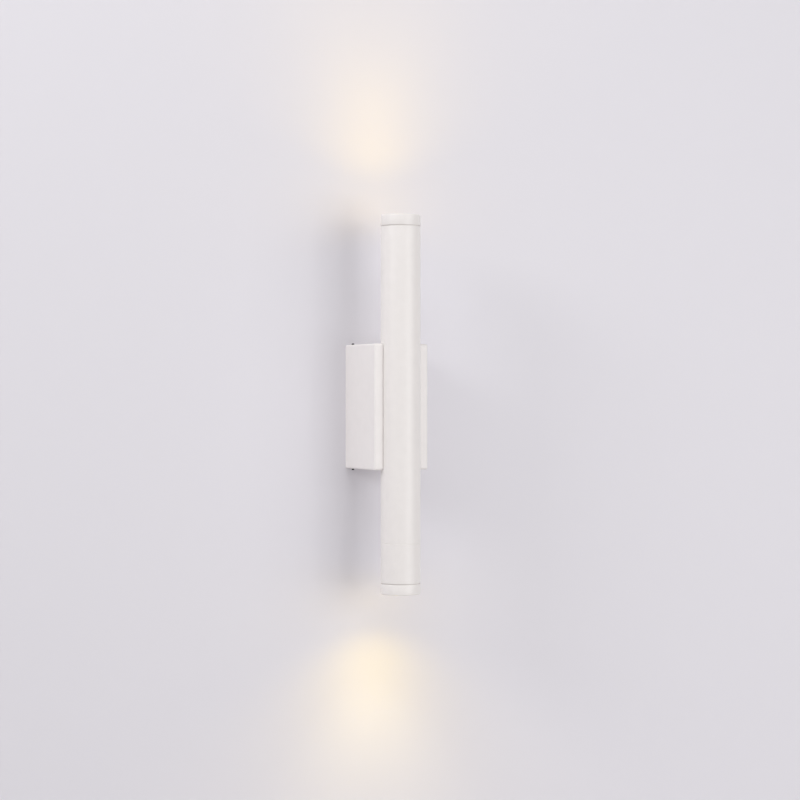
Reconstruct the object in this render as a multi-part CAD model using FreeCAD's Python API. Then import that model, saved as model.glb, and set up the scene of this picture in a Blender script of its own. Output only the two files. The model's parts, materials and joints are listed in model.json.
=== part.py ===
import FreeCAD, Part
import math
import os

V = FreeCAD.Vector

# Wall light: a round tube that shines up and down, half sunk in a channel down the front of a
# box that stands on the wall. All sizes in mm. The wall is the plane y = 0, the light is on its
# -Y side, +Z is up, and the origin is behind the middle of the box.

# How far a cut runs past the faces that it opens, and how near two places count as one
CUT_PAST = 1.0
SAME_PLACE = 1e-6

# Tube and the rings that screw into its ends; the tube's middle is a little above the box's
TUBE_R = 20.0
TUBE_WALL = 2.0
LIGHT_LENGTH = 381.0
TUBE_ABOVE_BOX = 2.2
RING_HEIGHT = 11.6
RING_SPIGOT = 7.0
RING_WALL = 2.5
RING_LIP = 2.0
RING_LIP_WIDTH = 2.0
RING_EDGE_R = 0.8
APERTURE_CHAMFER = 1.2
GROOVE_HEIGHT = 1.0
GROOVE_DEPTH = 1.2
THREAD_GAP = 0.05
SEAM_CHAMFER = 0.35

# Glass, its gasket and the snap ring that keeps both in the ring
GLASS_THICKNESS = 3.0
GLASS_GAP = 0.3
GASKET_THICKNESS = 1.0
SNAP_THICKNESS = 1.0
SNAP_GROOVE_DEPTH = 0.9
SNAP_REACH = 1.7
SNAP_OPENING = 7.0

# Lamp unit in each end: reflector, light-emitting chip, board and finned heatsink
REFLECTOR_HEIGHT = 19.0
REFLECTOR_WALL = 0.8
REFLECTOR_BASE_R = 6.0
REFLECTOR_FOOT = 2.4
REFLECTOR_TOP_GAP = 0.5
CHIP_R = 5.5
CHIP_HEIGHT = 1.0
BOARD_THICKNESS = 1.6
BOARD_EDGE_GAP = 0.5
PAD_INSET = 3.8
HEATSINK_LENGTH = 13.5
HEATSINK_BAND = 4.0
HEATSINK_CORE_PAST_PADS = 2.0
HEATSINK_HOLE_DEPTH = 5.0
FIN_COUNT = 8
FIN_THICKNESS = 1.6
BOARD_LEAD_R = 0.6
BOARD_LEAD_BEND = 4.0
BOARD_LEAD_SPACING = 1.7

# Round socket on the back of each heatsink and the plug that pushes into it
SOCKET_R = 4.5
SOCKET_LENGTH = 9.0
SOCKET_STEM_R = 3.0
SOCKET_STEM = 4.0
SOCKET_BORE_R = 2.8
SOCKET_BORE_DEPTH = 7.0
PLUG_R = 4.0
PLUG_LENGTH = 12.0
PLUG_TAIL = 5.0
PLUG_TAIL_WALL = 0.5
PLUG_BARREL = 6.0
RUNNING_GAP = 0.05

# Screwed joint between the long tube and the short lower one
COLLAR_WALL = 3.0
COLLAR_THREAD = 7.0
COLLAR_ROOT = 9.0
COLLAR_TO_HEATSINK = 2.6
SEAL_WIDTH = 1.4
SEAL_SECTION = 0.7
SEAL_FROM_SEAM = 1.5
SEAL_GROOVE_GAP = 0.1

# Housing: a box open at the wall, with the tube's channel down its front
BOX_WIDTH = 60.0
BOX_HEIGHT = 127.0
BOX_DEPTH = 70.0
BOX_WALL = 2.0
BOX_EDGE_R = 2.0
FRONT_LIP = 1.5
CHANNEL_GAP = 0.1
MOUTH_R = 0.4
LAND_WIDTH = 18.0
LAND_RISE = 2.5
LAND_END_GAP = 6.5

# Set screws that hold the housing on the wall plate
SET_SCREW_R = 1.5
SET_SCREW_LENGTH = 6.0
SET_SCREW_SHOWS = 1.6
SET_SCREW_FROM_SIDE = 5.5
SET_SCREW_FROM_WALL = 6.0
HEX_KEY = 1.5
HEX_DEPTH = 1.5

# Wall plate
PLATE_THICKNESS = 1.5
PLATE_FLANGE = 12.0
PLATE_SIDE_GAP = 0.3
PLATE_END_GAP = 0.2
PLATE_BEND_R = 1.5
SLOT_WIDTH = 5.0
SLOT_LENGTH = 11.0
SLOT_FROM_END = 8.3

# Cable entry
ENTRY_R = 6.5
GROMMET_BORE_R = 4.0
GROMMET_FLANGE_R = 8.0
GROMMET_FLANGE = 2.0
GROMMET_FROM_SLOT = 2.5

# Terminal block
TERMINAL_FROM_GROMMET = 1.5
TERMINAL_HEIGHT = 13.0
TERMINAL_WIDTH = 30.0
TERMINAL_DEPTH = 15.0
TERMINAL_LUG = 5.0
TERMINAL_LUG_THICKNESS = 3.0
POLE_GROOVE_WIDTH = 1.0
POLE_GROOVE_DEPTH = 2.0
POLE_PITCH = 9.5
WIRE_ABOVE_PLATE = 9.0
INSERT_SIZE = 5.5
INSERT_LENGTH = 11.0
TUNNEL_HALF = 1.6
WIRE_R = 0.9
CLAMP_SCREW_R = 1.3
CLAMP_SCREW_FROM_END = 3.0
CLAMP_SCREW_SUNK = 1.0

# Earth terminal
EARTH_X = 17.0
EARTH_BELOW_TERMINAL = 22.5
PILLAR_R = 4.0
TAG_THICKNESS = 0.8
CRIMP_HALF = 1.4
CRIMP_LENGTH = 4.0
CRIMP_TO_PILLAR = 1.0
EARTH_BEND = 8.0

# Driver, the supply unit that feeds the two lamp units
PAD_THICKNESS = 1.0
DRIVER_WIDTH = 36.0
DRIVER_WALL = 1.5
DRIVER_FROM_TERMINAL = 3.0
DRIVER_FRONT_GAP = 3.0
SKIRT_DEPTH = 3.0
SKIRT_THICKNESS = 1.2
SKIRT_GAP = 0.1
CIRCUIT_STAND = 3.0
CIRCUIT_GAP = 0.5
POST_HALF = 1.5
TRANSFORMER_SIZE = 16.0
TRANSFORMER_HEADROOM = 2.5
TRANSFORMER_LIMB = 2.0
CAPACITOR_R = 4.0
CAPACITOR_HEADROOM = 3.5
CAPACITOR_CHAMFER = 0.5

# What holds the tube in the channel, and the hollow nipple that the leads pass through
BAR_WIDTH = 16.0
BAR_THICKNESS = 6.5
BAR_END = 11.0
TUBE_SCREW_Z = 45.0
M3_R = 1.5
M3_HEAD_R = 2.4
M3_HEAD = 1.6
SCREW_END_GAP = 0.7
M4_R = 2.0
M4_CLEARANCE_R = 2.2
M4_HEAD_R = 3.9
M4_HEAD = 2.6
WASHER_THICKNESS = 0.9
WASHER_SPLIT = 0.6
NIPPLE_R = 5.0
NIPPLE_BORE_R = 3.5
NIPPLE_SHOWS_INSIDE = 1.0
NIPPLE_PAST_NUT = 2.0
NUT_HEIGHT = 3.0
NUT_FLATS = 14.0
BUSH_FLANGE = 1.5
BUSH_WALL = 0.45
BUSH_SLEEVE = 4.0
HOLE_EASE = 0.3

# Leads from the driver to the plugs, one above the other in the plane x = 0
LEAD_SIDES = 6
LEAD_R = 1.3
LEAD_PITCH = 2.9
LEAD_BEND_IN_BOX = 5.0
LEAD_FROM_NIPPLE = 0.5
LEAD_ABOVE_CIRCUIT = 0.3
LEAD_HOLE_EASE = 0.2
LEAD_IN_CASE = 2.0
LEAD_OUT_OF_CASE = 1.0
LOOP_TOP_GAP = 1.5

# Worked-out places, from the wall outwards
TUBE_IN_R = TUBE_R - TUBE_WALL
AXIS_Y = FRONT_LIP - BOX_DEPTH
HALF_TUBE = LIGHT_LENGTH / 2 - RING_HEIGHT
TOP_END_Z = TUBE_ABOVE_BOX + HALF_TUBE
LOW_END_Z = TUBE_ABOVE_BOX - HALF_TUBE
CHANNEL_R = TUBE_R + CHANNEL_GAP
LAND_Y = AXIS_Y + CHANNEL_R + BOX_WALL + LAND_RISE
NIPPLE_END_Y = LAND_Y + NUT_HEIGHT + NIPPLE_PAST_NUT
BUSH_END_Y = NIPPLE_END_Y + BUSH_FLANGE
BAR_FRONT = TUBE_IN_R - THREAD_GAP - BAR_THICKNESS

# Worked-out places along the end of the tube, counted outwards from the tube's end face
BORE_R = TUBE_IN_R - RING_WALL
APERTURE_R = BORE_R - RING_LIP_WIDTH
LIP_S = RING_HEIGHT - RING_LIP
GLASS_S = LIP_S - GASKET_THICKNESS - GLASS_THICKNESS
SNAP_S = GLASS_S - SNAP_THICKNESS
BOARD_S = SNAP_S - REFLECTOR_TOP_GAP - REFLECTOR_HEIGHT
HEATSINK_TOP_S = BOARD_S - BOARD_THICKNESS
HEATSINK_S = HEATSINK_TOP_S - HEATSINK_LENGTH
SOCKET_S = HEATSINK_S - SOCKET_LENGTH
PLUG_TAIL_S = SOCKET_S - PLUG_LENGTH - PLUG_TAIL
BOARD_R = BORE_R - BOARD_EDGE_GAP
PAD_R = BOARD_R - PAD_INSET
LOWER_TUBE_LENGTH = COLLAR_THREAD + COLLAR_TO_HEATSINK - HEATSINK_S
SEAM_Z = LOW_END_Z + LOWER_TUBE_LENGTH

# Worked-out places on the wall plate, from its lower end up
PLATE_HALF_WIDTH = BOX_WIDTH / 2 - BOX_WALL - PLATE_SIDE_GAP
PLATE_HALF_HEIGHT = BOX_HEIGHT / 2 - BOX_WALL - PLATE_END_GAP
SLOT_Z = PLATE_HALF_HEIGHT - SLOT_FROM_END
ENTRY_Z = SLOT_LENGTH / 2 + GROMMET_FROM_SLOT + GROMMET_FLANGE_R - SLOT_Z
TERMINAL_Z = ENTRY_Z + GROMMET_FLANGE_R + TERMINAL_FROM_GROMMET
WIRE_Y = -PLATE_THICKNESS - WIRE_ABOVE_PLATE
EARTH_Z = TERMINAL_Z - EARTH_BELOW_TERMINAL
PILLAR_Y = WIRE_Y + CRIMP_HALF
DRIVER_Z = TERMINAL_Z + TERMINAL_HEIGHT + DRIVER_FROM_TERMINAL

# Worked-out places of the driver's case, its circuit and the leads; the driver fills their room
DRIVER_BACK_Y = -PLATE_THICKNESS - PAD_THICKNESS
CIRCUIT_Y = DRIVER_BACK_Y - DRIVER_WALL - CIRCUIT_STAND
CIRCUIT_FRONT_Y = CIRCUIT_Y - BOARD_THICKNESS
UPPER_RUN_Y = BUSH_END_Y + LEAD_FROM_NIPPLE + LEAD_BEND_IN_BOX
LOWER_RUN_Y = UPPER_RUN_Y + LEAD_PITCH
UPPER_EXIT_Y = CIRCUIT_FRONT_Y - LEAD_R - LEAD_ABOVE_CIRCUIT
LOWER_EXIT_Y = UPPER_EXIT_Y - LEAD_PITCH
OUTER_LOOP_R = (UPPER_EXIT_Y - UPPER_RUN_Y) / 2
INNER_LOOP_R = OUTER_LOOP_R - LEAD_PITCH
FLANGE_UNDER_Z = PLATE_HALF_HEIGHT - PLATE_THICKNESS
LOOP_Z = FLANGE_UNDER_Z - LOOP_TOP_GAP - LEAD_R - OUTER_LOOP_R
DRIVER_TOP_Z = LOOP_Z - LEAD_OUT_OF_CASE
DRIVER_FRONT_Y = LOWER_RUN_Y + LEAD_R + DRIVER_FRONT_GAP
COVER_Y = DRIVER_FRONT_Y + DRIVER_WALL


# ---- Shapes that several pieces use ----


def box(low, high):
    """A block between two corners."""
    size = high - low
    return Part.makeBox(size.x, size.y, size.z, low)


def rod(radius, start, end):
    """A round rod from one point to another."""
    return Part.makeCylinder(radius, (end - start).Length, start, end - start)


def sleeve(outer_r, inner_r, low_z, high_z):
    """A plain ring about the Z axis."""
    outside = rod(outer_r, V(0, 0, low_z), V(0, 0, high_z))
    return outside.cut(rod(inner_r, V(0, 0, low_z), V(0, 0, high_z)))


def spun(edges):
    """A solid made by turning a closed outline in the XZ plane about the Z axis."""
    return Part.Face(Part.Wire(edges)).revolve(V(0, 0, 0), V(0, 0, 1), 360)


def outline(points):
    """Straight edges through (radius, height) points, closed back to the first."""
    corners = [V(r, 0, z) for r, z in points]
    return [Part.makeLine(a, b) for a, b in zip(corners, corners[1:] + corners[:1])]


def hexagon(flats, low_z, high_z):
    """A six-sided prism about the Z axis."""
    corner_r = flats / math.sqrt(3)
    turns = [math.radians(60 * i) for i in range(7)]
    ring = Part.makePolygon([V(corner_r * math.cos(t), corner_r * math.sin(t), low_z) for t in turns])
    return Part.Face(ring).extrude(V(0, 0, high_z - low_z))


def lead_section(radius, centre, along, across):
    """Face of a lead's section; the light hides its leads, so they have a few flat sides."""
    corners = []
    for i in range(LEAD_SIDES + 1):
        turn = 2 * math.pi * (i % LEAD_SIDES + 0.5) / LEAD_SIDES
        upward = along.cross(across) * (radius * math.sin(turn))
        corners.append(centre + across * (radius * math.cos(turn)) + upward)
    return Part.Face(Part.makePolygon(corners))


def wire_along(points, bends, radius):
    """A lead through points in one plane, with an elbow of the given bend at each inner point."""
    across = (points[1] - points[0]).cross(points[2] - points[1]).normalize()
    lengths = []
    start = points[0]
    for before, corner, after, bend in zip(points, points[1:], points[2:], bends):
        into = (corner - before).normalize()
        away = (after - corner).normalize()
        turn = into.getAngle(away)
        elbow_start = corner - into * (bend * math.tan(turn / 2))
        if (elbow_start - start).Length > radius / 100:
            lengths.append(lead_section(radius, start, into, across).extrude(elbow_start - start))
        axis = into.cross(away).normalize()
        centre = elbow_start + axis.cross(into) * bend
        elbow = lead_section(radius, elbow_start, into, across).revolve(centre, axis, math.degrees(turn))
        lengths.append(elbow)
        start = corner + away * (bend * math.tan(turn / 2))
    last = (points[-1] - start).normalize()
    lengths.append(lead_section(radius, start, last, across).extrude(points[-1] - start))
    return lengths[0].fuse(lengths[1:]).removeSplitter()


def pan_screw(radius, length, head_r, head_height):
    """A screw with its tapered head above the plane z = 0 and its shank below."""
    profile = [(0, -length), (radius, -length), (radius, 0), (head_r, 0),
               (head_r - head_height / 3, head_height), (0, head_height)]
    return spun(outline(profile))


def facing_wall(shape, place):
    """Turns a piece's +Z towards the wall and moves it to its place."""
    turned = shape.copy()
    turned.rotate(V(0, 0, 0), V(1, 0, 0), -90)
    turned.translate(place)
    return turned


def facing_front(shape, place):
    """Turns a piece's +Z away from the wall and moves it to its place."""
    turned = shape.copy()
    turned.rotate(V(0, 0, 0), V(1, 0, 0), 90)
    turned.translate(place)
    return turned


def mirrored_pair(shape, place):
    """The same piece at a place and at its mirror image across x = 0, as separate solids."""
    copies = []
    for side in (-1, 1):
        one = shape.copy()
        one.translate(V(side * place.x, place.y, place.z))
        copies.append(one)
    return Part.makeCompound(copies)


# ---- Wall side ----


def wall_plate():
    """Pressed steel plate with a flange at each end, two slots and the cable hole."""
    half = PLATE_HALF_HEIGHT
    inner = half - PLATE_THICKNESS
    profile = [V(0, 0, -half), V(0, 0, half), V(0, -PLATE_FLANGE, half), V(0, -PLATE_FLANGE, inner),
               V(0, -PLATE_THICKNESS, inner), V(0, -PLATE_THICKNESS, -inner),
               V(0, -PLATE_FLANGE, -inner), V(0, -PLATE_FLANGE, -half), V(0, 0, -half)]
    channel = Part.Face(Part.makePolygon(profile)).extrude(V(2 * PLATE_HALF_WIDTH, 0, 0))
    channel.translate(V(-PLATE_HALF_WIDTH, 0, 0))
    bends = [e for e in channel.Edges if abs(e.BoundBox.YMin) < SAME_PLACE and e.BoundBox.XLength > BOX_WALL
             and e.BoundBox.ZLength < SAME_PLACE]
    plate = channel.makeFillet(PLATE_BEND_R, bends)
    for side in (-1, 1):
        plate = plate.cut(wall_slot(side * SLOT_Z))
        for end in (-1, 1):
            at = V(side * (BOX_WIDTH / 2 - SET_SCREW_FROM_SIDE), -SET_SCREW_FROM_WALL, 0)
            plate = plate.cut(rod(SET_SCREW_R + THREAD_GAP, at + V(0, 0, end * (inner - CUT_PAST)),
                                  at + V(0, 0, end * (half + CUT_PAST))))
    plate = plate.cut(rod(ENTRY_R, V(0, -PLATE_FLANGE, ENTRY_Z), V(0, CUT_PAST, ENTRY_Z)))
    pillar_back = V(EARTH_X, CUT_PAST, EARTH_Z)
    plate = plate.cut(rod(PILLAR_R / 2, V(EARTH_X, -PLATE_FLANGE, EARTH_Z), pillar_back))
    for side in (-1, 1):
        x = side * (TERMINAL_WIDTH + TERMINAL_LUG) / 2
        z = TERMINAL_Z + TERMINAL_HEIGHT / 2
        plate = plate.cut(rod(M3_R + THREAD_GAP, V(x, -PLATE_FLANGE, z), V(x, CUT_PAST, z)))
    return plate


def wall_slot(centre_z):
    """A vertical slot right through the plate, rounded at both ends."""
    half_run = (SLOT_LENGTH - SLOT_WIDTH) / 2
    near = -2 * PLATE_THICKNESS
    far = PLATE_THICKNESS
    slot = box(V(-SLOT_WIDTH / 2, near, centre_z - half_run), V(SLOT_WIDTH / 2, far, centre_z + half_run))
    for end in (-1, 1):
        z = centre_z + end * half_run
        slot = slot.fuse(rod(SLOT_WIDTH / 2, V(0, near, z), V(0, far, z)))
    return slot.removeSplitter()


def cable_grommet():
    """Rubber bush in the plate's cable hole, with a flange on the inner side."""
    outer = ENTRY_R - THREAD_GAP
    top = PLATE_THICKNESS + GROMMET_FLANGE
    edge = GROMMET_FLANGE / 4
    profile = [(GROMMET_BORE_R, 0), (outer, 0), (outer, PLATE_THICKNESS), (GROMMET_FLANGE_R, PLATE_THICKNESS),
               (GROMMET_FLANGE_R, top - edge), (GROMMET_FLANGE_R - edge, top), (GROMMET_BORE_R, top)]
    return facing_front(spun(outline(profile)), V(0, 0, ENTRY_Z))


def pole_x(pole):
    """Sideways place of a terminal's pole: -1 and 0 are the supply, 1 is earth."""
    return pole * POLE_PITCH


def terminal_block():
    """Three-pole insulating block with a fixing lug at each side."""
    top = TERMINAL_Z + TERMINAL_HEIGHT
    back = -PLATE_THICKNESS
    front = back - TERMINAL_DEPTH
    half = TERMINAL_WIDTH / 2
    block = box(V(-half, front, TERMINAL_Z), V(half, back, top))
    lug_half = half + TERMINAL_LUG
    lug = box(V(-lug_half, back - TERMINAL_LUG_THICKNESS, TERMINAL_Z + TERMINAL_HEIGHT / 4),
              V(lug_half, back, top - TERMINAL_HEIGHT / 4))
    block = block.fuse(lug)
    for side in (-1, 1):
        x = side * (half + TERMINAL_LUG / 2)
        z = TERMINAL_Z + TERMINAL_HEIGHT / 2
        block = block.cut(rod(M3_R + HOLE_EASE, V(x, front, z), V(x, 0, z)))
        groove_x = side * POLE_PITCH / 2
        groove = box(V(groove_x - POLE_GROOVE_WIDTH / 2, front, TERMINAL_Z),
                     V(groove_x + POLE_GROOVE_WIDTH / 2, front + POLE_GROOVE_DEPTH, top))
        block = block.cut(groove)
    for pole in (-1, 0, 1):
        block = block.cut(insert_block(pole, THREAD_GAP)).cut(wire_tunnel(pole))
        for z in clamp_heights():
            well_floor = V(pole_x(pole), WIRE_Y - INSERT_SIZE / 2, z)
            block = block.cut(rod(CLAMP_SCREW_R + HOLE_EASE, V(pole_x(pole), front, z), well_floor))
    return block


def clamp_heights():
    """Heights of the two clamp screws of each pole."""
    middle = TERMINAL_Z + TERMINAL_HEIGHT / 2
    reach = INSERT_LENGTH / 2 - CLAMP_SCREW_FROM_END
    return (middle - reach, middle + reach)


def insert_block(pole, ease):
    """Outline of a pole's brass insert, grown by an ease on every side."""
    middle = TERMINAL_Z + TERMINAL_HEIGHT / 2
    half = INSERT_SIZE / 2 + ease
    length = INSERT_LENGTH / 2 + ease
    return box(V(pole_x(pole) - half, WIRE_Y - half, middle - length),
               V(pole_x(pole) + half, WIRE_Y + half, middle + length))


def wire_tunnel(pole):
    """Square way for the wires through a pole, with its floor right under them."""
    x = pole_x(pole)
    return box(V(x - TUNNEL_HALF, WIRE_Y - TUNNEL_HALF, TERMINAL_Z),
               V(x + TUNNEL_HALF, WIRE_Y + WIRE_R + THREAD_GAP, TERMINAL_Z + TERMINAL_HEIGHT))


def terminal_clamps():
    """Brass tunnel of each pole with its two clamp screws, driven in as far as the wires."""
    clamps = []
    head_y = -PLATE_THICKNESS - TERMINAL_DEPTH + CLAMP_SCREW_SUNK
    for pole in (-1, 0, 1):
        x = pole_x(pole)
        screws = [rod(CLAMP_SCREW_R, V(x, head_y, z), V(x, WIRE_Y - WIRE_R, z)) for z in clamp_heights()]
        clamps.append(insert_block(pole, 0).cut(wire_tunnel(pole)).fuse(screws))
    return Part.makeCompound(clamps)


def terminal_fixing_screws():
    """Screws through the block's lugs into the plate, ending flush with its back."""
    length = TERMINAL_LUG_THICKNESS + PLATE_THICKNESS - THREAD_GAP
    screw = facing_front(pan_screw(M3_R, length, M3_HEAD_R, M3_HEAD), V(0, 0, 0))
    place = V((TERMINAL_WIDTH + TERMINAL_LUG) / 2, -PLATE_THICKNESS - TERMINAL_LUG_THICKNESS,
              TERMINAL_Z + TERMINAL_HEIGHT / 2)
    return mirrored_pair(screw, place)


def supply_leads():
    """The two short wires from the terminal block up into the driver."""
    leads = []
    low = min(clamp_heights()) + 2 * CLAMP_SCREW_R
    for pole in (-1, 0):
        start = V(pole_x(pole), WIRE_Y, low)
        leads.append(rod(WIRE_R, start, V(pole_x(pole), WIRE_Y, DRIVER_Z + DRIVER_WALL + CIRCUIT_GAP)))
    return Part.makeCompound(leads)


def earth_pillar():
    """Six-sided brass pillar pressed into the plate, with a blind tapped hole in its front."""
    height = -PLATE_THICKNESS - PILLAR_Y
    pillar = hexagon(2 * PILLAR_R * math.cos(math.radians(30)), 0, height)
    pillar = pillar.fuse(rod(PILLAR_R / 2 - THREAD_GAP, V(0, 0, -PLATE_THICKNESS), V(0, 0, 0)))
    pillar = pillar.cut(rod(M4_R + THREAD_GAP, V(0, 0, height / 4), V(0, 0, height)))
    return facing_front(pillar, V(EARTH_X, -PLATE_THICKNESS, EARTH_Z))


def earth_lead():
    """Earth wire from the third pole, with a ring tag under the pillar's screw."""
    start = V(pole_x(1), WIRE_Y, max(clamp_heights()) - 2 * CLAMP_SCREW_R)
    crimp_low = EARTH_Z + PILLAR_R + CRIMP_TO_PILLAR
    crimp_top = crimp_low + CRIMP_LENGTH
    aside = EARTH_X - pole_x(1)
    points = [start, V(pole_x(1), WIRE_Y, crimp_top + EARTH_BEND / 2 + aside),
              V(EARTH_X, WIRE_Y, crimp_top + EARTH_BEND / 2), V(EARTH_X, WIRE_Y, crimp_low)]
    lead = wire_along(points, [EARTH_BEND, EARTH_BEND], WIRE_R)
    tag_front = PILLAR_Y - TAG_THICKNESS
    crimp = box(V(EARTH_X - CRIMP_HALF, WIRE_Y - CRIMP_HALF, crimp_low),
                V(EARTH_X + CRIMP_HALF, WIRE_Y + CRIMP_HALF, crimp_top))
    neck = box(V(EARTH_X - CRIMP_HALF, tag_front, EARTH_Z + PILLAR_R / 2),
               V(EARTH_X + CRIMP_HALF, PILLAR_Y, crimp_top))
    tag = rod(M4_HEAD_R, V(EARTH_X, tag_front, EARTH_Z), V(EARTH_X, PILLAR_Y, EARTH_Z))
    whole = lead.fuse([crimp, neck, tag])
    hole = rod(M4_CLEARANCE_R, V(EARTH_X, tag_front, EARTH_Z), V(EARTH_X, PILLAR_Y, EARTH_Z))
    return whole.cut(hole).removeSplitter()


def earth_screw():
    """Pan-head screw that clamps the earth tag on its pillar."""
    length = -PLATE_THICKNESS - PILLAR_Y
    screw = pan_screw(M4_R, length / 2, M4_HEAD_R, M4_HEAD)
    return facing_front(screw, V(EARTH_X, PILLAR_Y - TAG_THICKNESS, EARTH_Z))


# ---- Driver ----


def driver_pad():
    """Foam pad that sticks the driver to the plate."""
    half = DRIVER_WIDTH / 2 - DRIVER_WALL
    return box(V(-half, DRIVER_BACK_Y, DRIVER_Z + DRIVER_WALL),
               V(half, -PLATE_THICKNESS, DRIVER_TOP_Z - DRIVER_WALL))


def driver_room(front_y):
    """The hollow inside the driver's case, open towards the front."""
    half = DRIVER_WIDTH / 2 - DRIVER_WALL
    return box(V(-half, front_y, DRIVER_Z + DRIVER_WALL),
               V(half, DRIVER_BACK_Y - DRIVER_WALL, DRIVER_TOP_Z - DRIVER_WALL))


def driver_case():
    """Tray with four square posts for the circuit and a hole for each lead."""
    half = DRIVER_WIDTH / 2
    case = box(V(-half, COVER_Y, DRIVER_Z), V(half, DRIVER_BACK_Y, DRIVER_TOP_Z))
    upright = [e for e in case.Edges if e.BoundBox.YLength > DRIVER_WALL]
    case = case.makeFillet(DRIVER_WALL, upright)
    case = case.cut(driver_room(COVER_Y - CUT_PAST))
    for x, z in circuit_corners():
        case = case.fuse(box(V(x - POST_HALF, CIRCUIT_Y, z - POST_HALF),
                             V(x + POST_HALF, DRIVER_BACK_Y - DRIVER_WALL / 2, z + POST_HALF)))
    for pole in (-1, 0):
        case = case.cut(rod(WIRE_R + LEAD_HOLE_EASE, V(pole_x(pole), WIRE_Y, DRIVER_Z - CUT_PAST),
                            V(pole_x(pole), WIRE_Y, DRIVER_Z + DRIVER_WALL + CUT_PAST)))
    for y in (UPPER_EXIT_Y, LOWER_EXIT_Y):
        case = case.cut(rod(LEAD_R + LEAD_HOLE_EASE / 2, V(0, y, DRIVER_TOP_Z - DRIVER_WALL - CUT_PAST),
                            V(0, y, DRIVER_TOP_Z + CUT_PAST)))
    return case


def circuit_corners():
    """Places of the posts under the circuit's corners."""
    x = DRIVER_WIDTH / 2 - DRIVER_WALL - CIRCUIT_GAP - POST_HALF
    low = DRIVER_Z + DRIVER_WALL + CIRCUIT_GAP + POST_HALF
    high = DRIVER_TOP_Z - DRIVER_WALL - CIRCUIT_GAP - POST_HALF
    return [(side * x, z) for side in (-1, 1) for z in (low, high)]


def driver_cover():
    """Lid with a skirt that drops inside the case's walls."""
    half = DRIVER_WIDTH / 2
    lid = box(V(-half, DRIVER_FRONT_Y, DRIVER_Z), V(half, COVER_Y, DRIVER_TOP_Z))
    upright = [e for e in lid.Edges if e.BoundBox.YLength > DRIVER_WALL / 2]
    lid = lid.makeFillet(DRIVER_WALL, upright)
    outer = DRIVER_WALL + SKIRT_GAP
    inner = outer + SKIRT_THICKNESS
    end = COVER_Y + SKIRT_DEPTH
    skirt = box(V(outer - half, COVER_Y, DRIVER_Z + outer), V(half - outer, end, DRIVER_TOP_Z - outer))
    hollow = box(V(inner - half, COVER_Y, DRIVER_Z + inner), V(half - inner, end, DRIVER_TOP_Z - inner))
    return lid.fuse(skirt.cut(hollow)).removeSplitter()


def driver_board():
    """Circuit board on the case's posts."""
    half = DRIVER_WIDTH / 2 - DRIVER_WALL - CIRCUIT_GAP
    return box(V(-half, CIRCUIT_FRONT_Y, DRIVER_Z + DRIVER_WALL + CIRCUIT_GAP),
               V(half, CIRCUIT_Y, DRIVER_TOP_Z - DRIVER_WALL - CIRCUIT_GAP))


def driver_transformer():
    """Transformer: an upright core with a window at each side, standing on the board."""
    half = TRANSFORMER_SIZE / 2
    top = COVER_Y + TRANSFORMER_HEADROOM
    middle_z = (DRIVER_Z + DRIVER_TOP_Z) / 2
    core = box(V(-half, top, middle_z - half), V(half, CIRCUIT_FRONT_Y, middle_z + half))
    for side in (-1, 1):
        window = box(V(-half / 3, top + TRANSFORMER_LIMB, -half),
                     V(half / 3, CIRCUIT_FRONT_Y - TRANSFORMER_LIMB, half))
        window.translate(V(side * half, 0, middle_z))
        core = core.cut(window)
    return core


def driver_capacitor():
    """Round capacitor standing on the board beside the supply wires."""
    top = COVER_Y + CAPACITOR_HEADROOM
    x = DRIVER_WIDTH / 4
    z = DRIVER_Z + DRIVER_WIDTH / 3 - CAPACITOR_R / 2
    can = rod(CAPACITOR_R, V(x, CIRCUIT_FRONT_Y, z), V(x, top, z))
    top_edge = [e for e in can.Edges if abs(e.BoundBox.YMax - top) < CAPACITOR_CHAMFER / 100]
    return can.makeChamfer(CAPACITOR_CHAMFER, top_edge)


# ---- Housing ----


def channel_cutter():
    """What the channel takes out of the housing: the tube's room, with rounded mouth edges."""
    high = BOX_HEIGHT
    front = -BOX_DEPTH
    cutter = rod(CHANNEL_R, V(0, AXIS_Y, -high), V(0, AXIS_Y, high))
    cutter = cutter.fuse(box(V(-CHANNEL_R, front - CUT_PAST, -high), V(CHANNEL_R, AXIS_Y, high)))
    for side in (-1, 1):
        x = side * (CHANNEL_R + MOUTH_R)
        edge = side * CHANNEL_R
        corner = box(V(min(x, edge), front - CUT_PAST, -high), V(max(x, edge), front + MOUTH_R, high))
        round_edge = rod(MOUTH_R, V(x, front + MOUTH_R, -high), V(x, front + MOUTH_R, high))
        cutter = cutter.fuse(corner.cut(round_edge))
    return cutter


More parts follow.
